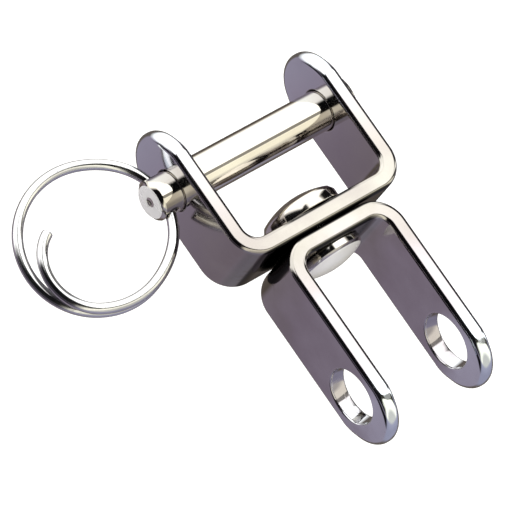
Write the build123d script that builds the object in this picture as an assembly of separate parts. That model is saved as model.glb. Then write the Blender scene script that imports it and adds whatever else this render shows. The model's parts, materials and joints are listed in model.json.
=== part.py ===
from build123d import *
import os
from math import asin, cos, degrees, pi, radians, sin

# Double-fork swivel. All sizes in millimetres.
# X runs along the swivel axis: the wide fork opens towards -X and the narrow fork towards +X.
# Y runs along the clevis pin, with the ring end at -Y. Z runs across the width of the straps.
# The pieces are made with X = 0 on the outer face of the narrow fork's web, and the finished
# model is moved so that its origin lies midway between the narrow fork's two eyes.

# --- Strap that both forks are bent from -------------------------------------------------
strap_thickness = 2.2
strap_width = 10.0
bend_inner_radius = 1.8
edge_rounding = 0.6

# --- Wide fork, the one that carries the clevis pin --------------------------------------
wide_fork_outer_width = 24.8
wide_fork_reach = 20.0
wide_fork_pin_reach = 12.8

# --- Narrow fork, the one with the open eyes ---------------------------------------------
narrow_fork_outer_width = 16.8
narrow_fork_reach = 24.5
narrow_fork_eye_reach = 18.0
eye_diameter = 7.0
hole_edge_break = 0.25

# --- Swivel rivet ------------------------------------------------------------------------
rivet_shank_diameter = 5.0
rivet_head_diameter = 9.8
rivet_head_rim = 1.5
rivet_head_height = 2.8
rivet_formed_diameter = 8.4
rivet_formed_rim = 1.0
rivet_formed_height = 2.0
rivet_edge_rounding = 0.4

# --- Clevis pin --------------------------------------------------------------------------
pin_diameter = 5.0
pin_head_diameter = 7.0
pin_head_thickness = 1.0
pin_head_rounding = 0.4
pin_protrusion = 3.2
pin_end_chamfer = 0.5
cross_hole_from_leg = 1.6

# --- Split ring --------------------------------------------------------------------------
ring_outer_diameter = 18.6
ring_wire_diameter = 1.3
ring_drop_angle = 11.5
ring_hole_bulge = 0.75
ring_hole_bulge_angle = 70.0
ring_free_end_angle = -214.0
ring_free_end_lift = 3.3
ring_free_end_sweep = 90.0
ring_tucked_end_angle = 340.0
ring_tucked_end_lift = 1.0
ring_tucked_end_sweep = 50.0
ring_wire_end_chamfer = 0.2
ring_path_step = 8.0

# --- Clearances --------------------------------------------------------------------------
web_gap = 0.10
rivet_head_gap = 0.05
rivet_running_clearance = 0.05
pin_running_clearance = 0.08
pin_head_gap = 0.10
ring_hole_clearance = 0.05
ring_coil_gap = 0.05
cut_allowance = 1.0


def bent_strap(outer_width, reach):
    """Fork blank: legs towards +X, web outer face on X = 0, straight across Y."""
    half_outer = outer_width / 2
    half_inner = half_outer - strap_thickness
    outline = Polyline(
        (reach, -half_outer),
        (0, -half_outer),
        (0, half_outer),
        (reach, half_outer),
        (reach, half_inner),
        (strap_thickness, half_inner),
        (strap_thickness, -half_inner),
        (reach, -half_inner),
        close=True,
    )
    profile = make_face(outline)
    outer_corners = profile.vertices().filter_by(lambda corner: corner.X < strap_thickness / 2)
    profile = fillet(outer_corners, bend_inner_radius + strap_thickness)
    inner_corners = profile.vertices().filter_by(
        lambda corner: abs(corner.X - strap_thickness) < edge_rounding and abs(abs(corner.Y) - half_inner) < edge_rounding
    )
    profile = fillet(inner_corners, bend_inner_radius)
    return extrude(profile, amount=strap_width / 2, both=True)


def rounded_legs(blank, outer_width, reach):
    """Trim the leg ends to half circles as wide as the strap."""
    half_width = strap_width / 2
    straight = Pos((reach - half_width) / 2, 0, 0) * Rectangle(reach - half_width, strap_width)
    tip = Pos(reach - half_width, 0, 0) * Circle(half_width)
    side_outline = Plane.XZ * (straight + tip)
    return blank & extrude(side_outline, amount=outer_width, both=True)


def rolled_edges(fork, reach):
    """Round every edge where a flat of the strap meets its cut edge."""
    leg_end_start = reach - strap_width / 2
    half_width = strap_width / 2

    def is_cut_edge(edge):
        centre = edge.center()
        on_side = abs(abs(centre.Z) - half_width) < hole_edge_break
        around_tip = centre.X > leg_end_start + hole_edge_break
        across_strap = edge.length < strap_thickness + hole_edge_break and centre.X > leg_end_start - hole_edge_break
        return (on_side or around_tip) and not across_strap

    return fillet(fork.edges().filter_by(is_cut_edge), edge_rounding)


def cross_drill(fork, reach, diameter, outer_width):
    """Drill one hole through both legs."""
    drill = Pos(reach, 0, 0) * Rot(90, 0, 0) * Cylinder(diameter / 2, outer_width + cut_allowance)
    return fork - drill


def web_drill(fork, diameter):
    """Drill the rivet hole through the web."""
    drill = Pos(strap_thickness / 2, 0, 0) * Rot(0, 90, 0) * Cylinder(
        diameter / 2, strap_thickness + cut_allowance
    )
    return fork - drill


def break_hole_edges(fork, diameter):
    """Take the sharp edge off a drilled hole."""
    rims = fork.edges().filter_by(
        lambda edge: edge.geom_type == GeomType.CIRCLE and abs(edge.radius - diameter / 2) < hole_edge_break / 5
    )
    return chamfer(rims, hole_edge_break)


def make_fork(outer_width, reach, cross_reach, cross_diameter, web_diameter):
    """One fork with its legs towards +X and its web outer face on X = 0."""
    fork = rounded_legs(bent_strap(outer_width, reach), outer_width, reach)
    fork = rolled_edges(fork, reach)
    fork = cross_drill(fork, cross_reach, cross_diameter, outer_width)
    fork = break_hole_edges(fork, cross_diameter)
    return web_drill(fork, web_diameter)


def domed_disc(diameter, rim, height, base, towards):
    """Low domed button about X standing on X = base, growing towards +X or -X."""
    radius = diameter / 2
    dome = height - rim
    dome_radius = (radius**2 + dome**2) / (2 * dome)
    blank = Pos(0, 0, height / 2) * Cylinder(radius, height)
    ball = Pos(0, 0, height - dome_radius) * Sphere(dome_radius)
    button = blank & ball
    shoulder = button.edges().filter_by(
        lambda edge: edge.geom_type == GeomType.CIRCLE and abs(edge.center().Z - rim) < rim / 5
    )
    button = fillet(shoulder, rivet_edge_rounding)
    return Pos(base, 0, 0) * Rot(0, 90 * towards, 0) * button


def make_rivet():
    """Head inside the wide fork, shank through both webs, formed end in the narrow fork."""
    head_base = -(web_gap + strap_thickness + rivet_head_gap)
    shank_length = strap_thickness - head_base
    shank_centre = (strap_thickness + head_base) / 2
    shank = Pos(shank_centre, 0, 0) * Rot(0, 90, 0) * Cylinder(rivet_shank_diameter / 2, shank_length)
    head = domed_disc(rivet_head_diameter, rivet_head_rim, rivet_head_height, head_base, -1)
    formed = domed_disc(
        rivet_formed_diameter, rivet_formed_rim, rivet_formed_height, strap_thickness, 1
    )
    return shank + head + formed


def make_pin():
    """Clevis pin about Y with its low head at +Y and its drilled end at -Y."""
    half_outer = wide_fork_outer_width / 2
    head_base = half_outer + pin_head_gap
    end = -(half_outer + pin_protrusion)
    shank_length = head_base - end
    shank = Pos(0, (head_base + end) / 2, 0) * Rot(90, 0, 0) * Cylinder(pin_diameter / 2, shank_length)
    end_rim = shank.edges().filter_by(GeomType.CIRCLE).sort_by(Axis.Y)[0]
    shank = chamfer(end_rim, pin_end_chamfer)
    head = Rot(90, 0, 0) * Cylinder(pin_head_diameter / 2, pin_head_thickness)
    head = Pos(0, head_base + pin_head_thickness / 2, 0) * head
    outer_rim = head.edges().filter_by(GeomType.CIRCLE).sort_by(Axis.Y)[-1]
    head = fillet(outer_rim, pin_head_rounding)
    cross_hole = Pos(0, -(half_outer + cross_hole_from_leg), 0) * Rot(0, 90, 0)
    hole_diameter = ring_wire_diameter + ring_bow() + 2 * ring_hole_clearance
    cross_hole = cross_hole * Cylinder(hole_diameter / 2, pin_diameter + cut_allowance)
    pin = shank + head - cross_hole
    return Pos(pin_x(), 0, 0) * pin


def pin_x():
    """Place of the clevis pin along X."""
    return -(web_gap + wide_fork_pin_reach)


def ring_radius():
    """Radius of the ring's wire centre line."""
    return (ring_outer_diameter - ring_wire_diameter) / 2


def ring_path_point(angle):
    """Wire centre at an angle round the ring, 0 in the pin's hole; local X points at the hole."""
    radius = ring_radius()
    if abs(angle) < ring_hole_bulge_angle:
        radius += ring_hole_bulge * cos(pi / 2 * angle / ring_hole_bulge_angle) ** 2
    past_free = ring_free_end_angle + ring_free_end_sweep - angle
    if past_free > 0:
        radius -= ring_free_end_lift * (past_free / ring_free_end_sweep) ** 1.5
    past_tucked = angle - (ring_tucked_end_angle - ring_tucked_end_sweep)
    if past_tucked > 0:
        radius += ring_tucked_end_lift * (past_tucked / ring_tucked_end_sweep) ** 1.5
    turn = radians(angle)
    pitch = ring_wire_diameter + ring_coil_gap
    return Vector(radius * cos(turn), radius * sin(turn), -pitch * angle / 360)


def ring_bow():
    """How far the wire bows out of line over the length of the pin's cross hole."""
    mouth_angle = degrees(asin(pin_diameter / 2 / ring_radius()))
    return ring_path_point(0).X - ring_path_point(mouth_angle).X


def make_ring():
    """Wire coiled a little over one and a half turns, threaded through the pin's hole."""
    span = ring_tucked_end_angle - ring_free_end_angle
    steps = round(span / ring_path_step)
    points = [ring_path_point(ring_free_end_angle + span * step / steps) for step in range(steps + 1)]
    path = Spline(*points)
    start = Plane(path @ 0, z_dir=path % 0)
    coil = sweep(start * Circle(ring_wire_diameter / 2), path=path)
    coil = chamfer(coil.faces().filter_by(GeomType.PLANE).edges(), ring_wire_end_chamfer)
    reach = ring_path_point(0).X - ring_bow() / 2
    drop = radians(ring_drop_angle)
    towards_hole = Vector(0, cos(drop), sin(drop))
    hole_y = -(wide_fork_outer_width / 2 + cross_hole_from_leg)
    centre = Vector(pin_x(), hole_y, 0) - towards_hole * reach
    across = Vector(0, -sin(drop), cos(drop))
    return Plane(origin=centre, x_dir=towards_hole, z_dir=across) * coil


rivet_hole = rivet_shank_diameter + 2 * rivet_running_clearance
pin_hole = pin_diameter + 2 * pin_running_clearance
wide_fork = make_fork(
    wide_fork_outer_width, wide_fork_reach, wide_fork_pin_reach, pin_hole, rivet_hole
)
narrow_fork = make_fork(
    narrow_fork_outer_width,
    narrow_fork_reach,
    narrow_fork_eye_reach,
    eye_diameter,
    rivet_shank_diameter,
)

parts = {
    "wide_fork": Pos(-web_gap, 0, 0) * Rot(0, 180, 0) * wide_fork,
    "narrow_fork": narrow_fork,
    "swivel_rivet": make_rivet(),
    "clevis_pin": make_pin(),
    "split_ring": make_ring(),
}

os.makedirs("parts", exist_ok=True)
for name, solid in parts.items():
    placed = Pos(-narrow_fork_eye_reach, 0, 0) * solid
    export_step(placed, os.path.join("parts", name + ".step"))
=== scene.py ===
import json
from math import asin, cos, pi, radians, sin

import bmesh
import bpy
from mathutils import Matrix, Vector


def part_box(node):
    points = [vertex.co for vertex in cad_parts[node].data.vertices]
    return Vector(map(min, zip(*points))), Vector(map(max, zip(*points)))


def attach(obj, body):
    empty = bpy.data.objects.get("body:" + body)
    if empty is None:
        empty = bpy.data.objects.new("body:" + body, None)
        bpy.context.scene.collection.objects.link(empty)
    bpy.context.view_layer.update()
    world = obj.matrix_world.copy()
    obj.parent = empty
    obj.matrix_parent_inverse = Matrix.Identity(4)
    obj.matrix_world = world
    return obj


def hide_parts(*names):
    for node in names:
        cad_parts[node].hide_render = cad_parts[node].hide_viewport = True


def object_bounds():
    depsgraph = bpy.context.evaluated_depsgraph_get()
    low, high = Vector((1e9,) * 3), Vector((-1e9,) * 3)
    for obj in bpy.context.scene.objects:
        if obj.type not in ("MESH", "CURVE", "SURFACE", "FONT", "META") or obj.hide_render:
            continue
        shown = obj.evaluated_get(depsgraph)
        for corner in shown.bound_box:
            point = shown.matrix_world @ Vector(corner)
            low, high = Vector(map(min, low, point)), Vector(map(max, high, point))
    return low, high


# Double-fork swivel in polished stainless steel: two bent strap forks turning on a rivet,
# with a clevis pin and its split ring. Lengths are in metres, written in millimetres times MM.
# X runs along the swivel axis towards the narrow fork's open end, Y along the clevis pin
# with the ring at -Y, and Z across the width of the straps.

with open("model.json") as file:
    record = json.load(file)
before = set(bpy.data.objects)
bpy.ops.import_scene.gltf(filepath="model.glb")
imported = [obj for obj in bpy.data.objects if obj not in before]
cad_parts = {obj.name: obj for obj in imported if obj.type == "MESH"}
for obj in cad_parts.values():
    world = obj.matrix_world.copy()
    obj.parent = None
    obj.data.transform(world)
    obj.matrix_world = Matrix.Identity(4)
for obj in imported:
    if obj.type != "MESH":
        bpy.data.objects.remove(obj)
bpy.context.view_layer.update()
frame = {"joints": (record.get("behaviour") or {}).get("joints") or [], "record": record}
record = frame["record"]
joint_place = {joint["name"]: Vector(joint["pos_m"]) for joint in frame["joints"]}
mounts = {mount["name"]: mount for mount in record["mounts"]}

MM = 0.001

# --- Places and sizes taken from the frame -------------------------------------------------
wide_low, wide_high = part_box("wide_fork")
narrow_low, narrow_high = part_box("narrow_fork")
rivet_low, rivet_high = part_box("swivel_rivet")
pin_low, pin_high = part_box("clevis_pin")
ring_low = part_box("split_ring")[0]
strap_half_width = narrow_high.z
eye_radius = mounts["eyes"]["dims"]["r_mm"] * MM
cross_hole_place = joint_place["ring_swing"]
pin_axis_x = joint_place["pin_turn"].x

# --- Strap ---------------------------------------------------------------------------------
strap_thickness = 2.2 * MM
strap_trim = 1.0 * MM
bend_inner_radius = 1.8 * MM
edge_rounding = 0.6 * MM
edge_rounding_steps = 8
nose_rounding = 1.0 * MM
nose_blend_angle = radians(24)
hole_edge_break = 0.25 * MM
hole_edge_steps = 3
bend_steps = 20
round_steps = 96

# --- Rivet ---------------------------------------------------------------------------------
rivet_shank_radius = 2.5 * MM
rivet_web_hole_radius = 2.55 * MM
rivet_head_gap = 0.05 * MM
rivet_head_rim = 1.5 * MM
rivet_formed_radius = 4.2 * MM
rivet_formed_rim = 1.0 * MM
rivet_shoulder_rounding = 0.4 * MM
rivet_seat_rounding = 0.15 * MM
rivet_bare_depth = 0.9 * MM

# --- Clevis pin ----------------------------------------------------------------------------
pin_radius = 2.5 * MM
pin_running_clearance = 0.08 * MM
pin_head_thickness = 1.0 * MM
pin_head_rounding = 0.4 * MM
pin_head_seat_rounding = 0.1 * MM
pin_head_middle_radius = 0.5 * MM
pin_end_chamfer = 0.5 * MM
pin_end_face_edge = 0.12 * MM
pin_end_face_edge_depth = 0.04 * MM
pin_end_shank_edge = 0.06 * MM
pin_end_dimple_radius = 0.75 * MM
pin_end_dimple_depth = 0.35 * MM
pin_end_dimple_wall = [(0.8, 0.5), (0.25, 0.85)]  # shares of its depth and its radius
pin_end_dimple_lip = 0.02 * MM
pin_end_dimple_flare = 1.15
pin_bare_depth = 0.1 * MM
cross_hole_radius = 1.0 * MM
cross_hole_edge_break = 0.25 * MM

# --- Split ring ----------------------------------------------------------------------------
ring_outer_radius = 9.3 * MM
ring_wire_radius = 0.65 * MM
ring_drop_angle = radians(11.5)
ring_coil_gap = 0.05 * MM
ring_hole_bulge = 0.75 * MM
ring_hole_bulge_angle = radians(70)
ring_free_end_angle = radians(-214)
ring_free_end_lift = 3.3 * MM
ring_free_end_sweep = radians(90)
ring_tucked_end_angle = radians(340)
ring_tucked_end_lift = 1.0 * MM
ring_tucked_end_sweep = radians(50)
ring_end_curl = 1.5
ring_path_step = radians(6)
ring_path_smoothness = 3
ring_wire_roundness = 8
ring_wire_end_rounding = 0.2 * MM
ring_wire_end_steps = 3

# --- Workshop allowances -------------------------------------------------------------------
touching = 0.01 * MM  # two places closer than this count as one when edges are picked
corner_angle = radians(40)
crease_angle = radians(35)
pole_radius = 0.02 * MM  # a round piece is closed by a disc this small at its middle
merge_distance = 0.0005 * MM
wire_merge_distance = 0.001 * MM


# ===========================================================================================
# Working by hand: selecting, editing, cutting
# ===========================================================================================
def let_go():
    """Leave edit mode and deselect everything."""
    if bpy.context.object and bpy.context.object.mode != "OBJECT":
        bpy.ops.object.mode_set(mode="OBJECT")
    bpy.ops.object.select_all(action="DESELECT")


def take(piece):
    """Make this piece the only one selected, and active."""
    let_go()
    bpy.context.view_layer.objects.active = piece
    piece.select_set(True)


def edit(piece, kind):
    """Open a piece for editing by vertices, edges or faces."""
    take(piece)
    bpy.ops.object.mode_set(mode="EDIT")
    bpy.ops.mesh.select_mode(type=kind)


def pick_vertices(piece, test):
    """Select the vertices whose place passes the test."""
    shape = bmesh.from_edit_mesh(piece.data)
    bpy.ops.mesh.select_all(action="DESELECT")
    for vertex in shape.verts:
        vertex.select_set(test(vertex.co))
    shape.select_flush(True)
    bmesh.update_edit_mesh(piece.data)


def pick_edges(piece, test):
    """Select the edges that pass the test, which is given the edge and its middle."""
    shape = bmesh.from_edit_mesh(piece.data)
    bpy.ops.mesh.select_all(action="DESELECT")
    for edge in shape.edges:
        middle = (edge.verts[0].co + edge.verts[1].co) / 2
        edge.select_set(test(edge, middle))
    bmesh.update_edit_mesh(piece.data)


def is_corner(edge):
    """True where two faces of an edge meet at a clear angle."""
    return len(edge.link_faces) == 2 and edge.calc_face_angle() > corner_angle


def add_box(name, low, high):
    """A box between two corners."""
    let_go()
    bpy.ops.mesh.primitive_cube_add(size=1, location=(low + high) / 2)
    box = bpy.context.object
    box.name = name
    box.scale = high - low
    bpy.ops.object.transform_apply(location=True, rotation=True, scale=True)
    return box


def turn_to(axis):
    """The rotation that lays a round primitive along X or Y."""
    return {"X": (0, pi / 2, 0), "Y": (pi / 2, 0, 0)}[axis]


def add_rod(name, middle, axis, radius, length):
    """A plain rod along X or Y."""
    let_go()
    bpy.ops.mesh.primitive_cylinder_add(
        vertices=round_steps, radius=radius, depth=length, location=middle, rotation=turn_to(axis)
    )
    rod = bpy.context.object
    rod.name = name
    bpy.ops.object.transform_apply(location=True, rotation=True, scale=True)
    return rod


def cut_with(piece, tool, way):
    """Use a tool body on a piece, and throw the tool away."""
    take(piece)
    cut = piece.modifiers.new("cut", "BOOLEAN")
    cut.operation = way
    cut.solver = "EXACT"
    cut.object = tool
    bpy.ops.object.modifier_apply(modifier=cut.name)
    bpy.data.objects.remove(tool)


def finish_surface(piece):
    """Merge doubles, point the faces outwards and shade the flats flat and the rounds round."""
    edit(piece, "VERT")
    bpy.ops.mesh.select_all(action="SELECT")
    bpy.ops.mesh.remove_doubles(threshold=merge_distance)
    bpy.ops.mesh.normals_make_consistent(inside=False)
    take(piece)
    bpy.ops.object.shade_smooth_by_angle(angle=crease_angle)
    weighted = piece.modifiers.new("even shading", "WEIGHTED_NORMAL")
    weighted.mode = "FACE_AREA"
    weighted.keep_sharp = True
    bpy.ops.object.modifier_apply(modifier=weighted.name)


# ===========================================================================================
# Forks
# ===========================================================================================
def web_outside(low, high, open_way):
    """Where the outer face of a fork's web lies on X."""
    return low.x if open_way > 0 else high.x


def tip_centre(low, high, open_way):
    """Where the middle of a fork's half-round leg ends lies on X."""
    return (high.x if open_way > 0 else low.x) - open_way * strap_half_width


def bend_at(piece, place_x, radius):
    """Round the two upright edges of a block at this place on X, as a bend does."""
    edit(piece, "EDGE")
    pick_edges(
        piece, lambda edge, middle: abs(middle.z) < touching and abs(middle.x - place_x) < touching
    )
    bpy.ops.mesh.bevel(offset=radius, segments=bend_steps, affect="EDGES")


def bent_strap(name, low, high, open_way):
    """A strap bent into a U whose legs point along open_way on X, a little wider than finished."""
    spare = Vector((0, 0, strap_trim))
    outside = web_outside(low, high, open_way)
    fork = add_box(name, low - spare, high + spare)
    bend_at(fork, outside, bend_inner_radius + strap_thickness)
    wall = Vector((strap_thickness, strap_thickness, 0))
    past_tips = Vector((open_way * 2 * strap_thickness, 0, 0))
    room_low = low + wall - 3 * spare
    room_high = high - wall + 3 * spare
    if open_way > 0:
        room_high += past_tips
    else:
        room_low += past_tips
    room = add_box("jaw room", room_low, room_high)
    bend_at(room, outside + open_way * strap_thickness, bend_inner_radius)
    cut_with(fork, room, "DIFFERENCE")
    return fork


def round_leg_ends(fork, low, high, open_way):
    """Trim both legs to half-round ends and the strap to its finished width."""
    centre = tip_centre(low, high, open_way)
    outline = add_rod("leg outline", Vector((centre, 0, 0)), "Y", strap_half_width, 2 * (high.y - low.y))
    edit(outline, "VERT")
    pick_vertices(outline, lambda place: open_way * (place.x - centre) < -touching)
    bpy.ops.transform.translate(value=(-open_way * 2 * (high.x - low.x), 0, 0))
    cut_with(fork, outline, "INTERSECT")


def roll_strap_edges(fork):
    """Round the strap's cut edges along the legs, the web and the leg ends."""

    def is_strap_edge(edge, middle):
        square_to_pin = abs(edge.verts[0].co.y - edge.verts[1].co.y) < touching
        at_side = abs(abs(middle.z) - strap_half_width) < touching
        return is_corner(edge) and (square_to_pin or at_side)

    edit(fork, "EDGE")
    pick_edges(fork, is_strap_edge)
    bpy.ops.mesh.bevel(offset=edge_rounding, segments=edge_rounding_steps, affect="EDGES")


def round_noses(fork, low, high, open_way):
    """Draw the rolled edges out, round the leg ends only, to a fuller rounding."""
    centre = tip_centre(low, high, open_way)
    half_thickness = strap_thickness / 2
    leg_middle = high.y - half_thickness
    flat_half = half_thickness - edge_rounding
    take(fork)
    for vertex in fork.data.vertices:
        place = vertex.co
        past_centre = open_way * (place.x - centre)
        outwards = Vector((place.x - centre, 0, place.z))
        depth = strap_half_width - outwards.length
        from_middle = abs(abs(place.y) - leg_middle)
        if past_centre > 0 and depth < edge_rounding + touching and from_middle > flat_half - touching:
            fullness = min(1, past_centre / (strap_half_width * sin(nose_blend_angle)))
            rounding = edge_rounding + (nose_rounding - edge_rounding) * fullness
            growth = rounding / edge_rounding
            depth = rounding + (depth - edge_rounding) * growth
            from_middle = half_thickness - rounding + (from_middle - half_thickness + edge_rounding) * growth
            outwards = outwards.normalized() * (strap_half_width - depth)
            outer_or_inner = 1 if abs(place.y) > leg_middle else -1
            leg_side = 1 if place.y > 0 else -1
            across = leg_side * (leg_middle + outer_or_inner * from_middle)
            vertex.co = (centre + outwards.x, across, outwards.z)


def drill(piece, place, axis, radius, depth, edge_break):
    """Drill a hole and take the sharp edge off its rims."""
    cut_with(piece, add_rod("drill", place, axis, radius, depth), "DIFFERENCE")

    def is_rim(edge, middle):
        off_axis = [end.co - place for end in edge.verts]
        for offset in off_axis:
            offset["XYZ".index(axis)] = 0
        on_wall = all(abs(offset.length - radius) < touching for offset in off_axis)
        return on_wall and is_corner(edge)

    edit(piece, "EDGE")
    pick_edges(piece, is_rim)
    bpy.ops.mesh.bevel(offset=edge_break, segments=hole_edge_steps, affect="EDGES")


def make_fork(name, low, high, open_way, hole_place, hole_radius, web_hole_radius):
    """One fork, bent from strap, with a hole through both legs and one through the web."""
    fork = bent_strap(name, low, high, open_way)
    round_leg_ends(fork, low, high, open_way)
    roll_strap_edges(fork)
    drill(fork, hole_place, "Y", hole_radius, 2 * (high.y - low.y), hole_edge_break)
    web_middle = web_outside(low, high, open_way) + open_way * strap_thickness / 2
    web_drill = add_rod("web drill", Vector((web_middle, 0, 0)), "X", web_hole_radius, 2 * strap_thickness)
    cut_with(fork, web_drill, "DIFFERENCE")
    round_noses(fork, low, high, open_way)
    finish_surface(fork)
    return fork


# ===========================================================================================
# Turned pieces
# ===========================================================================================
def turned(name, axis, start, outline):
    """A round piece: a disc at the first station is drawn out from station to station.

    The outline is a list of (distance along the axis, radius), measured from the start point.
    """
    along = {"X": Vector((1, 0, 0)), "Y": Vector((0, 1, 0))}[axis]
    first_station, first_radius = outline[0]
    let_go()
    bpy.ops.mesh.primitive_circle_add(
        vertices=round_steps,
        radius=first_radius,
        fill_type="NGON",
        location=start + along * first_station,
        rotation=turn_to(axis),
    )
    piece = bpy.context.object
    piece.name = name
    bpy.ops.object.transform_apply(location=True, rotation=True, scale=True)
    edit(piece, "FACE")
    bpy.ops.mesh.select_all(action="SELECT")
    for (station, radius), (next_station, next_radius) in zip(outline, outline[1:]):
        bpy.ops.mesh.extrude_region_move(
            TRANSFORM_OT_translate={"value": along * (next_station - station)}
        )
        ratio = next_radius / radius
        grow = [1 if letter == axis else ratio for letter in "XYZ"]
        bpy.ops.transform.resize(value=grow, center_override=start + along * next_station)
    return piece


def dome(base_station, rim_radius, height, shoulder, steps=24):
    """Stations of a low dome, from its shoulder up to its middle."""
    sphere_radius = (rim_radius**2 + height**2) / (2 * height)
    centre_depth = sphere_radius - height
    reach = asin((rim_radius - shoulder) / sphere_radius)
    stations = []
    for step in range(steps):
        angle = reach * (1 - step / steps)
        rise = sphere_radius * cos(angle) - centre_depth
        stations.append((base_station + rise, sphere_radius * sin(angle)))
    stations.append((base_station + height, pole_radius))
    return stations


def corner_out(station, radius, rounding, steps=6):
    """Stations round a quarter circle, from a flat out to a rim that runs along the axis."""
    angles = [pi / 2 * step / steps for step in range(steps + 1)]
    return [
        (station + rounding * (1 - cos(angle)), radius - rounding + rounding * sin(angle)) for angle in angles
    ]


def corner_in(station, radius, rounding, steps=6):
    """Stations round a quarter circle, from a rim that runs along the axis in to a flat."""
    angles = [pi / 2 * step / steps for step in range(steps + 1)]
    return [
        (station - rounding * (1 - sin(angle)), radius - rounding + rounding * cos(angle)) for angle in angles
    ]


def make_rivet():
    """The rivet: a wide low dome in the wide fork, a shank, and a formed button in the narrow fork."""
    head_radius = rivet_high.z
    head_seat = wide_high.x - strap_thickness - rivet_head_gap - rivet_low.x
    formed_seat = narrow_low.x + strap_thickness - rivet_low.x
    formed_height = rivet_high.x - rivet_low.x - formed_seat
    head_dome = dome(
        head_seat + rivet_head_rim, head_radius, head_seat - rivet_head_rim, rivet_shoulder_rounding
    )
    head = [(head_seat - (station - head_seat), radius) for station, radius in reversed(head_dome)]
    head += [(head_seat - rivet_head_rim + rivet_shoulder_rounding, head_radius)]
    head += corner_in(head_seat, head_radius, rivet_seat_rounding)
    shank = [(head_seat, rivet_shank_radius), (formed_seat, rivet_shank_radius)]
    formed = corner_out(formed_seat, rivet_formed_radius, rivet_seat_rounding)
    formed += [(formed_seat + rivet_formed_rim - rivet_shoulder_rounding / 2, rivet_formed_radius)]
    formed += dome(
        formed_seat + rivet_formed_rim,
        rivet_formed_radius,
        formed_height - rivet_formed_rim,
        rivet_shoulder_rounding,
    )
    rivet = turned("rivet", "X", Vector((rivet_low.x, 0, 0)), head + shank + formed)
    finish_surface(rivet)
    return rivet


def make_pin():
    """The clevis pin: a chamfered end with a dimple and a cross hole, a shank, and a thin head at +Y."""
    length = pin_high.y - pin_low.y
    head_radius = (pin_high.x - pin_low.x) / 2
    head_seat = length - pin_head_thickness
    face_radius = pin_radius - pin_end_chamfer
    outline = [(pin_end_dimple_depth, pole_radius)]
    outline += [
        (pin_end_dimple_depth * deep, pin_end_dimple_radius * wide) for deep, wide in pin_end_dimple_wall
    ]
    outline += [
        (pin_end_dimple_lip, pin_end_dimple_radius),
        (0, pin_end_dimple_radius * pin_end_dimple_flare),
        (0, face_radius - pin_end_face_edge),
        (pin_end_face_edge_depth, face_radius),
        (pin_end_chamfer - pin_end_shank_edge, pin_radius - pin_end_shank_edge),
        (pin_end_chamfer + pin_end_shank_edge, pin_radius),
        (head_seat, pin_radius),
    ]
    outline += corner_out(head_seat, head_radius, pin_head_seat_rounding)
    outline += corner_in(length, head_radius, pin_head_rounding)
    outline += [(length, pin_head_middle_radius), (length, pole_radius)]
    pin = turned("clevis pin", "Y", Vector((pin_axis_x, pin_low.y, 0)), outline)
    finish_surface(pin)
    drill(pin, cross_hole_place, "X", cross_hole_radius, 4 * pin_radius, cross_hole_edge_break)
    finish_surface(pin)
    return pin


# ===========================================================================================
# Split ring
# ===========================================================================================
def ring_path_point(angle):
    """A point of the wire's centre line, from the ring's middle, with the pin's hole at angle 0."""
    radius = ring_outer_radius - ring_wire_radius
    if abs(angle) < ring_hole_bulge_angle:
        radius += ring_hole_bulge * cos(pi / 2 * angle / ring_hole_bulge_angle) ** 2
    past_free = ring_free_end_angle + ring_free_end_sweep - angle
    if past_free > 0:
        radius -= ring_free_end_lift * (past_free / ring_free_end_sweep) ** ring_end_curl
    past_tucked = angle - (ring_tucked_end_angle - ring_tucked_end_sweep)
    if past_tucked > 0:
        radius += ring_tucked_end_lift * (past_tucked / ring_tucked_end_sweep) ** ring_end_curl
    pitch = 2 * ring_wire_radius + ring_coil_gap
    return Vector((radius * cos(angle), radius * sin(angle), -pitch * angle / (2 * pi)))


def ring_bow():
    """How far the wire bows sideways inside the pin's hole."""
    half_turn = asin(pin_radius / ring_path_point(0).x)
    return ring_path_point(0).x - ring_path_point(half_turn).x


def make_split_ring():
    """The split ring: one round wire, a little over one and a half turns, through the cross hole."""
    to_hole = Vector((0, cos(ring_drop_angle), sin(ring_drop_angle)))
    sideways = Vector((-1, 0, 0))
    coil_axis = to_hole.cross(sideways)
    middle = cross_hole_place - to_hole * (ring_path_point(0).x - ring_bow() / 2)
    turns = ring_tucked_end_angle - ring_free_end_angle
    steps = round(turns / ring_path_step)
    let_go()
    bpy.ops.curve.primitive_bezier_curve_add(location=(0, 0, 0))
    ring = bpy.context.object
    ring.name = "split ring"
    bpy.ops.object.mode_set(mode="EDIT")
    bpy.ops.curve.select_all(action="SELECT")
    bpy.ops.curve.delete(type="VERT")
    for step in range(steps + 1):
        point = ring_path_point(ring_free_end_angle + turns * step / steps)
        place = middle + to_hole * point.x + sideways * point.y + coil_axis * point.z
        bpy.ops.curve.vertex_add(location=place)
    bpy.ops.curve.select_all(action="SELECT")
    bpy.ops.curve.handle_type_set(type="AUTOMATIC")
    bpy.ops.object.mode_set(mode="OBJECT")
    ring.data.dimensions = "3D"
    ring.data.bevel_depth = ring_wire_radius
    ring.data.bevel_resolution = ring_wire_roundness
    ring.data.resolution_u = ring_path_smoothness
    ring.data.use_fill_caps = True
    bpy.ops.object.convert(target="MESH")
    edit(ring, "EDGE")
    bpy.ops.mesh.select_all(action="SELECT")
    bpy.ops.mesh.remove_doubles(threshold=wire_merge_distance)
    pick_edges(ring, lambda edge, middle: is_corner(edge))
    bpy.ops.mesh.bevel(offset=ring_wire_end_rounding, segments=ring_wire_end_steps, affect="EDGES")
    finish_surface(ring)
    return ring


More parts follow.
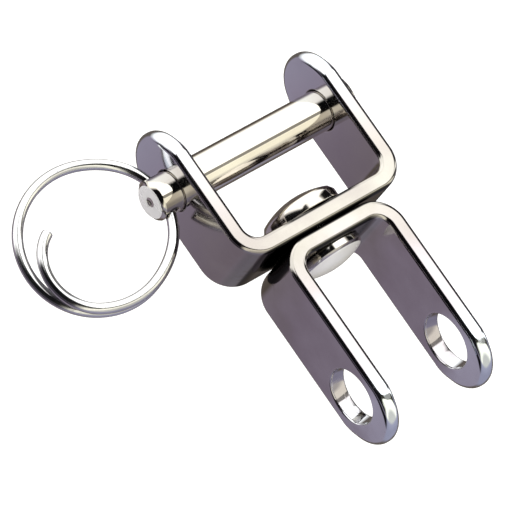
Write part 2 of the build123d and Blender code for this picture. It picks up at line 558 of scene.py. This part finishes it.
# ===========================================================================================
# Wiring of nodes
# ===========================================================================================
class Wiring:
    """A short way to lay out the nodes of a material or of the surroundings."""

    def __init__(self, tree):
        self.tree = tree

    def add(self, kind, **settings):
        """A new node with its settings."""
        node = self.tree.nodes.new(kind)
        for key, value in settings.items():
            setattr(node, key, value)
        return node

    def join(self, source, target):
        """A wire from an output to an input."""
        self.tree.links.new(source, target)

    def feed(self, socket, source):
        """Give a socket a number, a colour or a wire from an output."""
        if isinstance(source, (int, float)):
            socket.default_value = source
        elif isinstance(source, tuple):
            socket.default_value = (*source, 1)
        else:
            self.join(source, socket)

    def ramp(self, source, stops):
        """A colour ramp on a value. Stops are (place, grey or colour)."""
        node = self.add("ShaderNodeValToRGB")
        while len(node.color_ramp.elements) < len(stops):
            node.color_ramp.elements.new(0.5)
        for element, (place, shade) in zip(node.color_ramp.elements, stops):
            element.position = place
            element.color = (*shade, 1) if isinstance(shade, tuple) else (shade, shade, shade, 1)
        self.join(source, node.inputs["Fac"])
        return node.outputs["Color"]

    def fade(self, distance, span, stops):
        """A shade that changes with distance. Stops are (distance, grey or colour), up to the span."""
        share = self.maths("DIVIDE", distance, span)
        return self.ramp(share, [(place / span, shade) for place, shade in stops])

    def mix(self, amount, first, second):
        """A blend from the first colour to the second."""
        node = self.add("ShaderNodeMix", data_type="RGBA")
        self.join(amount, node.inputs["Factor"])
        self.feed(node.inputs["A"], first)
        self.feed(node.inputs["B"], second)
        return node.outputs["Result"]

    def multiply(self, first, second):
        """One colour times another."""
        node = self.add("ShaderNodeMix", data_type="RGBA", blend_type="MULTIPLY")
        node.inputs["Factor"].default_value = 1.0
        self.join(first, node.inputs["A"])
        self.join(second, node.inputs["B"])
        return node.outputs["Result"]

    def maths(self, way, first, second=0.0):
        """A sum on one or two values, each a number or an output."""
        node = self.add("ShaderNodeMath", operation=way)
        self.feed(node.inputs[0], first)
        self.feed(node.inputs[1], second)
        return node.outputs[0]

    def noise(self, place, scale, detail, stretch=(1, 1, 1), turn=(0, 0, 0)):
        """Noise on Object coordinates, stretched into streaks if asked."""
        mapping = self.add("ShaderNodeMapping")
        mapping.inputs["Scale"].default_value = stretch
        mapping.inputs["Rotation"].default_value = turn
        self.join(place, mapping.inputs["Vector"])
        node = self.add("ShaderNodeTexNoise")
        node.inputs["Scale"].default_value = scale
        node.inputs["Detail"].default_value = detail
        self.join(mapping.outputs["Vector"], node.inputs["Vector"])
        return node.outputs["Fac"]

    def bump(self, height, depth, under=None, invert=False):
        """A bump from a height, laid over the one under it."""
        node = self.add("ShaderNodeBump", invert=invert)
        node.inputs["Strength"].default_value = 1.0
        node.inputs["Distance"].default_value = depth
        self.join(height, node.inputs["Height"])
        if under:
            self.join(under, node.inputs["Normal"])
        return node.outputs["Normal"]


# ===========================================================================================
# Materials
# ===========================================================================================
film_scale, film_detail = 160, 4.0
film_unevenness = 12 * MM  # how far the film's noise moves the painted shade and reflection along the legs
smear_scale, smear_detail = 300, 4.0
ripple_scale, ripple_detail, ripple_depth = 110, 2.0, 0.035 * MM
polish_scale, polish_detail = 900, 5.0
scratch_detail, scratch_depth, scratch_roughness = 2.0, 0.004 * MM, 0.12
scratch_level, scratch_level_drop, scratch_softness = 0.70, 0.06, 0.03
scratch_sets = [  # scale, stretch and turn
    (700, (0.06, 1.0, 1.0), (0.3, 0.5, 0.7)),
    (650, (1.0, 0.05, 1.0), (0.9, -0.4, 0.35)),
]
worn_edge_radius, worn_edge_brightness, worn_edge_polish = 0.35 * MM, 1.15, 0.03
worn_edge_stops = [(0.80, 1.0), (0.98, 0.0)]  # by how well the surface agrees with a rounded one
noise_low, noise_high = 0.30, 0.70  # noise seldom goes past these

# Painted shade between the webs and on each web's inside face, as stops of (distance, how much). The first
# two distances are from the webs' joint, the third from the swivel axis towards the legs, and the last from
# the strap's centre line.
shade_between_webs = [(0.35 * MM, 1.0), (0.50 * MM, 0.0)]
shade_between_webs_span = 1.0 * MM
shade_inside_web = [(1.68 * MM, 0.0), (1.84 * MM, 1.0), (2.24 * MM, 1.0), (2.40 * MM, 0.0)]
shade_inside_web_span = 4.0 * MM
shade_clear_of_legs = [(4.4 * MM, 1.0), (6.0 * MM, 0.0)]
shade_clear_of_legs_span = 10.0 * MM
shade_below_edge = [(4.92 * MM, 1.0), (4.965 * MM, 0.0)]
shade_light_left = 0.06  # the share of light that the painted shade leaves

# Painted shade and reflection on the legs, darker and browner towards the webs and paler at the leg ends,
# from the wide fork's tips to the narrow fork's, as (distance from the webs' joint, tint)
fork_leg_shade_and_reflection = [
    (-19.5 * MM, (0.93, 1.00, 1.00)),
    (-15.5 * MM, (0.83, 0.85, 0.86)),
    (-10.0 * MM, (0.57, 0.54, 0.52)),
    (-4.0 * MM, (0.50, 0.47, 0.42)),
    (0.5 * MM, (0.52, 0.50, 0.43)),
    (7.0 * MM, (0.555, 0.52, 0.51)),
    (16.0 * MM, (0.61, 0.585, 0.58)),
    (22.0 * MM, (0.93, 1.00, 1.00)),
]

bare_metal = [(noise_low, (0.80, 0.80, 0.78)), (noise_high, (0.95, 0.94, 0.93))]


def paint_shade_and_reflection_along_legs(wiring, tone, film, spot, leg_shade_and_reflection):
    """The tone times a tint of painted shade and reflection that changes along the legs, uneven where the
    film is.
    """
    uneven = wiring.maths("MULTIPLY", wiring.maths("SUBTRACT", film, 0.5), film_unevenness)
    from_tips = wiring.maths("ADD", wiring.maths("SUBTRACT", spot.outputs["X"], wide_low.x), uneven)
    stops = [(narrow_low.x + distance - wide_low.x, tint) for distance, tint in leg_shade_and_reflection]
    return wiring.multiply(tone, wiring.fade(from_tips, narrow_high.x - wide_low.x, stops))


def paint_shade_at_webs(wiring, tone, spot):
    """The tone with painted shade between the webs, and inside each web clear of its legs."""
    from_joint = wiring.maths("ABSOLUTE", wiring.maths("SUBTRACT", spot.outputs["X"], narrow_low.x))
    from_middle = wiring.maths("ABSOLUTE", spot.outputs["Y"])
    from_centre_line = wiring.maths("ABSOLUTE", spot.outputs["Z"])
    # Painted shade: the steel is darkened in the joint between the webs and on each web's inside face, where
    # shade falls.
    between_webs = wiring.fade(from_joint, shade_between_webs_span, shade_between_webs)
    inside_web = wiring.fade(from_joint, shade_inside_web_span, shade_inside_web)
    clear_of_legs = wiring.fade(from_middle, shade_clear_of_legs_span, shade_clear_of_legs)
    below_edge = wiring.fade(from_centre_line, strap_half_width, shade_below_edge)
    painted_shade = wiring.maths("MAXIMUM", between_webs, wiring.maths("MULTIPLY", inside_web, clear_of_legs))
    painted_shade = wiring.maths("MULTIPLY", painted_shade, below_edge)
    return wiring.multiply(tone, wiring.ramp(painted_shade, [(0.0, 1.0), (1.0, shade_light_left)]))


def scratches(wiring, place, scratch_count):
    """Two crossing sets of fine scratches, 1 on a line and 0 off it."""
    edge = scratch_level - scratch_level_drop * scratch_count
    first, second = [
        wiring.ramp(
            wiring.noise(place, scale, scratch_detail, stretch, turn),
            [(edge, 0.0), (edge + scratch_softness, 1.0)],
        )
        for scale, stretch, turn in scratch_sets
    ]
    return wiring.maths("MAXIMUM", first, second)


def worn_edges(wiring):
    """Where handling has worn the steel: 1 on sharp edges and 0 on flats."""
    rounded = wiring.add("ShaderNodeBevel", samples=4)
    rounded.inputs["Radius"].default_value = worn_edge_radius
    normal = wiring.add("ShaderNodeNewGeometry").outputs["Normal"]
    turned_away = wiring.add("ShaderNodeVectorMath", operation="DOT_PRODUCT")
    wiring.join(rounded.outputs["Normal"], turned_away.inputs[0])
    wiring.join(normal, turned_away.inputs[1])
    return wiring.ramp(turned_away.outputs["Value"], worn_edge_stops)


def steel(
    name, light_tone, dark_tone, gloss, grain, grain_depth, scratch_count=0.5, leg_shade_and_reflection=None, bare_end=None
):
    """Polished stainless steel with a film of tarnish, a faint grain, scratches and worn edges.

    Gloss is the lowest and highest roughness. Grain is how the fine polishing lines are stretched
    on X, Y and Z. Past a bare end's place on its axis the metal is bare, pale and less polished.
    """
    material = bpy.data.materials.new(name)
    material.use_nodes = True
    material.node_tree.nodes.clear()
    wiring = Wiring(material.node_tree)
    output = wiring.add("ShaderNodeOutputMaterial")
    shader = wiring.add("ShaderNodeBsdfPrincipled")
    shader.inputs["Metallic"].default_value = 1.0
    wiring.join(shader.outputs["BSDF"], output.inputs["Surface"])
    place = wiring.add("ShaderNodeTexCoord").outputs["Object"]
    spot = wiring.add("ShaderNodeSeparateXYZ")
    wiring.join(place, spot.inputs["Vector"])

    film = wiring.noise(place, film_scale, film_detail)
    lines = scratches(wiring, place, scratch_count)
    worn = worn_edges(wiring)

    tone = wiring.ramp(film, [(noise_low, dark_tone), (noise_high, light_tone)])
    # Painted shade and reflection along the legs: darker and browner towards the webs, paler at the leg ends.
    if leg_shade_and_reflection:
        tone = paint_shade_and_reflection_along_legs(wiring, tone, film, spot, leg_shade_and_reflection)
        # Painted shade in the joint between the webs and on their inside faces.
        tone = paint_shade_at_webs(wiring, tone, spot)
    worn_tone = tuple(min(1, value * worn_edge_brightness) for value in light_tone)
    colour = wiring.mix(worn, tone, worn_tone)

    smear = wiring.noise(place, smear_scale, smear_detail)
    base_gloss = wiring.add("ShaderNodeMapRange")
    base_gloss.inputs["From Min"].default_value = noise_low
    base_gloss.inputs["From Max"].default_value = noise_high
    base_gloss.inputs["To Min"].default_value = gloss[0]
    base_gloss.inputs["To Max"].default_value = gloss[1]
    wiring.join(smear, base_gloss.inputs["Value"])
    scratched = wiring.maths("MULTIPLY", lines, scratch_roughness)
    rough = wiring.maths("ADD", base_gloss.outputs["Result"], scratched)
    rough = wiring.maths("SUBTRACT", rough, wiring.maths("MULTIPLY", worn, worn_edge_polish))

    if bare_end:
        bare = wiring.maths(bare_end["side"], spot.outputs[bare_end["axis"]], bare_end["place"])
        colour = wiring.mix(bare, colour, wiring.ramp(film, bare_metal))
        less_metal = wiring.maths("MULTIPLY", bare, 1 - bare_end["metalness"])
        wiring.join(wiring.maths("SUBTRACT", 1.0, less_metal), shader.inputs["Metallic"])
        rough = wiring.maths("ADD", rough, wiring.maths("MULTIPLY", bare, bare_end["more_roughness"]))
    wiring.join(colour, shader.inputs["Base Color"])
    wiring.join(rough, shader.inputs["Roughness"])

    ripple = wiring.bump(wiring.noise(place, ripple_scale, ripple_detail), ripple_depth)
    polish = wiring.noise(place, polish_scale, polish_detail, stretch=grain)
    grained = wiring.bump(polish, grain_depth, under=ripple)
    wiring.join(wiring.bump(lines, scratch_depth, under=grained, invert=True), shader.inputs["Normal"])
    return material


# ===========================================================================================
# The five pieces
# ===========================================================================================
wide_fork = make_fork(
    "wide fork strap",
    wide_low,
    wide_high,
    open_way=-1,
    hole_place=Vector((pin_axis_x, 0, 0)),
    hole_radius=pin_radius + pin_running_clearance,
    web_hole_radius=rivet_web_hole_radius,
)
narrow_fork = make_fork(
    "narrow fork strap",
    narrow_low,
    narrow_high,
    open_way=1,
    hole_place=Vector((0, 0, 0)),
    hole_radius=eye_radius,
    web_hole_radius=rivet_shank_radius,
)
rivet = make_rivet()
clevis_pin = make_pin()
split_ring = make_split_ring()

fork_steel = steel(
    "polished strap steel",
    light_tone=(0.87, 0.87, 0.91),
    dark_tone=(0.72, 0.70, 0.74),
    gloss=(0.06, 0.14),
    grain=(0.15, 0.15, 1.0),
    grain_depth=0.0025 * MM,
    leg_shade_and_reflection=fork_leg_shade_and_reflection,
)
rivet_steel = steel(
    "peened rivet steel",
    light_tone=(0.68, 0.65, 0.60),
    dark_tone=(0.55, 0.51, 0.47),
    gloss=(0.06, 0.15),
    grain=(1.0, 1.0, 1.0),
    grain_depth=0.004 * MM,
    scratch_count=0.7,
    bare_end={
        "axis": "X",
        "side": "GREATER_THAN",
        "place": rivet_high.x - rivet_bare_depth,
        "metalness": 0.30,
        "more_roughness": 0.12,
    },
)
pin_steel = steel(
    "turned pin steel",
    light_tone=(0.70, 0.67, 0.60),
    dark_tone=(0.60, 0.56, 0.50),
    gloss=(0.03, 0.09),
    grain=(0.9, 8.0, 0.9),
    grain_depth=0.0025 * MM,
    bare_end={
        "axis": "Y",
        "side": "LESS_THAN",
        "place": pin_low.y + pin_bare_depth,
        "metalness": 0.40,
        "more_roughness": 0.22,
    },
)
ring_steel = steel(
    "drawn ring wire steel",
    light_tone=(0.78, 0.78, 0.78),
    dark_tone=(0.56, 0.56, 0.57),
    gloss=(0.08, 0.20),
    grain=(1.0, 1.0, 1.0),
    grain_depth=0.004 * MM,
    scratch_count=0.8,
)

for piece, name, material, body, node, slot_name in (
    (wide_fork, "wide_fork_strap", fork_steel, "wide_fork", "wide_fork", "fork_steel"),
    (narrow_fork, "narrow_fork_strap", fork_steel, "narrow_fork", "narrow_fork", "fork_steel"),
    (rivet, "rivet_body", rivet_steel, "narrow_fork", "swivel_rivet", "rivet_steel"),
    (clevis_pin, "clevis_pin_body", pin_steel, "clevis_pin", "clevis_pin", "pin_steel"),
    (split_ring, "split_ring_wire", ring_steel, "split_ring", "split_ring", "ring_wire"),
):
    piece.name = name
    piece.data.materials.clear()
    piece.data.materials.append(material)
    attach(piece, body)
    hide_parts(node)

# ===========================================================================================
# Floor and lamps
# ===========================================================================================
model_low, model_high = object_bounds()
model_middle = (model_low + model_high) / 2
ring_reach = cross_hole_place.y - ring_low.y
floor_gap = 1.0 * MM
floor_height = cross_hole_place.z - ring_reach - floor_gap  # clear of the swung ring and the turned fork
floor_size = 6.0
floor_tone = (0.50, 0.50, 0.50)
floor_roughness = 0.9
floor_glow = 0.70

let_go()
bpy.ops.mesh.primitive_plane_add(size=floor_size, location=(0, 0, floor_height))
floor = bpy.context.object
floor.name = "floor"
floor_paint = bpy.data.materials.new("pale floor")
floor_paint.use_nodes = True
floor_shader = floor_paint.node_tree.nodes["Principled BSDF"]
floor_shader.inputs["Base Color"].default_value = (*floor_tone, 1)
floor_shader.inputs["Roughness"].default_value = floor_roughness
floor_shader.inputs["Emission Color"].default_value = (1, 1, 1, 1)
floor_shader.inputs["Emission Strength"].default_value = floor_glow
floor.data.materials.append(floor_paint)
floor.visible_glossy = False


def direction(azimuth, elevation):
    """The direction from the object to something seen at this azimuth and elevation, in degrees."""
    turn, rise = radians(azimuth), radians(elevation)
    return Vector((sin(turn) * cos(rise), -cos(turn) * cos(rise), sin(rise)))


def softbox(name, azimuth, elevation, distance, width, height, brightness, tint):
    """A large soft lamp that faces the object. Its face looks as bright as brightness times white paper."""
    back = direction(azimuth, elevation)
    lamp_data = bpy.data.lights.new(name, "AREA")
    lamp_data.shape = "RECTANGLE"
    lamp_data.size = width
    lamp_data.size_y = height
    lamp_data.energy = brightness * pi * width * height
    lamp_data.color = tint
    lamp = bpy.data.objects.new(name, lamp_data)
    bpy.context.scene.collection.objects.link(lamp)
    lamp.location = model_middle + back * distance
    lamp.rotation_mode = "QUATERNION"
    lamp.rotation_quaternion = (-back).to_track_quat("-Z", "Y")
    lamp.visible_camera = False
    return lamp


softbox(
    "overhead softbox",
    azimuth=185,
    elevation=58,
    distance=0.45,
    width=0.50,
    height=0.34,
    brightness=0.35,
    tint=(1.0, 0.97, 0.91),
)
softbox(
    "low side softbox",
    azimuth=265,
    elevation=30,
    distance=0.50,
    width=0.30,
    height=0.30,
    brightness=0.40,
    tint=(1.0, 0.94, 0.95),
)
fill = softbox(
    "front fill",
    azimuth=40,
    elevation=28,
    distance=0.60,
    width=0.50,
    height=0.40,
    brightness=2.2,
    tint=(1.0, 1.0, 1.0),
)
fill.visible_glossy = False
fill.data.use_shadow = False

# ===========================================================================================
# Surroundings that the steel mirrors
# ===========================================================================================
# They are painted by direction. Across goes from 0 at -X to 1 at +X, depth from -Y to +Y,
# and height from straight down to straight up. Heading is depth with the height left out.
white_wall = (2.00, 2.00, 1.96)
cream_wall = (1.45, 1.41, 1.20)
olive_wall = (0.74, 0.72, 0.66)
wall_joint = (0.06, 0.055, 0.04)
wall_haze = (0.44, 0.43, 0.55)
card_haze = (0.17, 0.15, 0.19)
dark_card = (0.006, 0.006, 0.007)
purple_ground = (0.345, 0.300, 0.375)
brown_ground = (0.15, 0.125, 0.11)
lavender_ground = (0.36, 0.35, 0.46)

walls_across = [
    (0.0, white_wall),
    (0.602, white_wall),
    (0.612, wall_joint),
    (0.712, wall_joint),
    (0.722, cream_wall),
    (0.86, cream_wall),
    (0.92, olive_wall),
    (1.0, olive_wall),
]
walls_over_height = [(0.47, 0.0), (0.54, 1.0)]
haze_across = [(0.0, white_wall), (0.20, white_wall), (0.38, wall_haze), (1.0, wall_haze)]
haze_over_height = [(0.30, 0.0), (0.46, 1.0)]
ground_in_depth = [(0.0, purple_ground), (0.36, purple_ground), (0.46, brown_ground), (1.0, brown_ground)]
lavender_across = [(0.70, 0.0), (0.80, 1.0)]

front_card_tones = [(0.44, dark_card), (0.46, card_haze), (0.54, card_haze), (0.56, dark_card)]
front_card_in_depth = [(0.42, 1.0), (0.47, 0.0)]
front_card_heading = [(0.07, 1.0), (0.14, 0.0)]
front_card_over_height = [(0.22, 0.0), (0.27, 1.0)]
overhead_over_height = [(0.955, 0.0), (0.965, 1.0)]
overhead_in_depth = [(0.46, 1.0), (0.50, 0.0)]
back_card_tones = [(0.34, dark_card), (0.38, card_haze), (0.54, card_haze), (0.56, dark_card)]
back_card_heading = [(0.92, 0.0), (0.95, 1.0)]
back_card_across = [(0.52, 1.0), (0.56, 0.0)]
back_card_over_height = [(0.02, 0.0), (0.05, 1.0), (0.82, 1.0), (0.88, 0.0)]


def paint_surroundings():
    """Pale walls with a dark joint, a coloured ground, and dark cards in front, overhead and behind.

    The steel mirrors them, and the camera sees plain white.
    """
    world = bpy.data.worlds.new("studio")
    bpy.context.scene.world = world
    world.use_nodes = True
    world.node_tree.nodes.clear()
    sky = Wiring(world.node_tree)
    output = sky.add("ShaderNodeOutputWorld")
    way = sky.add("ShaderNodeSeparateXYZ")
    sky.join(sky.add("ShaderNodeTexCoord").outputs["Generated"], way.inputs["Vector"])
    level = sky.add("ShaderNodeCombineXYZ")
    sky.join(way.outputs["X"], level.inputs["X"])
    sky.join(way.outputs["Y"], level.inputs["Y"])
    level_way = sky.add("ShaderNodeVectorMath", operation="NORMALIZE")
    sky.join(level.outputs["Vector"], level_way.inputs[0])
    headed = sky.add("ShaderNodeSeparateXYZ")
    sky.join(level_way.outputs["Vector"], headed.inputs["Vector"])

    def place_of(value):
        """Turn a direction's -1 to 1 into 0 to 1 for a ramp."""
        return sky.maths("ADD", sky.maths("MULTIPLY", value, 0.5), 0.5)

    across = place_of(way.outputs["X"])
    depth = place_of(way.outputs["Y"])
    height = place_of(way.outputs["Z"])
    heading = place_of(headed.outputs["Y"])

    def both(first, second):
        """Where two masks overlap."""
        return sky.maths("MULTIPLY", first, second)

    ground = sky.ramp(depth, ground_in_depth)
    ground = sky.mix(sky.ramp(across, lavender_across), ground, lavender_ground)
    low = sky.mix(sky.ramp(height, haze_over_height), ground, sky.ramp(across, haze_across))
    around = sky.mix(sky.ramp(height, walls_over_height), low, sky.ramp(across, walls_across))

    front_tone = sky.ramp(height, front_card_tones)
    front_edges = both(sky.ramp(heading, front_card_heading), sky.ramp(height, front_card_over_height))
    front_card = both(sky.ramp(depth, front_card_in_depth), front_edges)
    around = sky.mix(front_card, around, front_tone)
    overhead = both(sky.ramp(height, overhead_over_height), sky.ramp(depth, overhead_in_depth))
    around = sky.mix(overhead, around, front_tone)
    back_edges = both(sky.ramp(heading, back_card_heading), sky.ramp(across, back_card_across))
    back_card = both(back_edges, sky.ramp(height, back_card_over_height))
    around = sky.mix(back_card, around, sky.ramp(height, back_card_tones))

    mirrored = sky.add("ShaderNodeBackground")
    sky.join(around, mirrored.inputs["Color"])
    seen = sky.add("ShaderNodeBackground")
    seen.inputs["Color"].default_value = (1, 1, 1, 1)
    by_eye = sky.add("ShaderNodeMixShader")
    sky.join(sky.add("ShaderNodeLightPath").outputs["Is Camera Ray"], by_eye.inputs["Fac"])
    sky.join(mirrored.outputs["Background"], by_eye.inputs[1])
    sky.join(seen.outputs["Background"], by_eye.inputs[2])
    sky.join(by_eye.outputs["Shader"], output.inputs["Surface"])


paint_surroundings()

# ===========================================================================================
# Camera
# ===========================================================================================
camera_azimuth = 17.8
camera_elevation = 57.9
camera_roll = radians(40.0)
camera_distance = 0.5
camera_aim = Vector((-20.35, -6.13, -3.21)) * MM
camera_lens = 307.7
camera_sensor = 36
camera_near, camera_far = 0.01, 50

back = direction(camera_azimuth, camera_elevation)
level = Vector((cos(radians(camera_azimuth)), sin(radians(camera_azimuth)), 0))
upright = back.cross(level)
right = level * cos(camera_roll) + upright * sin(camera_roll)
up = back.cross(right)
camera_turn = Matrix((right, up, back)).transposed().to_4x4()
camera_data = bpy.data.cameras.new("camera")
camera_data.sensor_width = camera_sensor
camera_data.lens = camera_lens
camera_data.clip_start = camera_near
camera_data.clip_end = camera_far
camera = bpy.data.objects.new("camera", camera_data)
bpy.context.scene.collection.objects.link(camera)
camera.matrix_world = Matrix.Translation(camera_aim + back * camera_distance) @ camera_turn
bpy.context.scene.camera = camera
bpy.context.scene.view_settings.view_transform = "Standard"
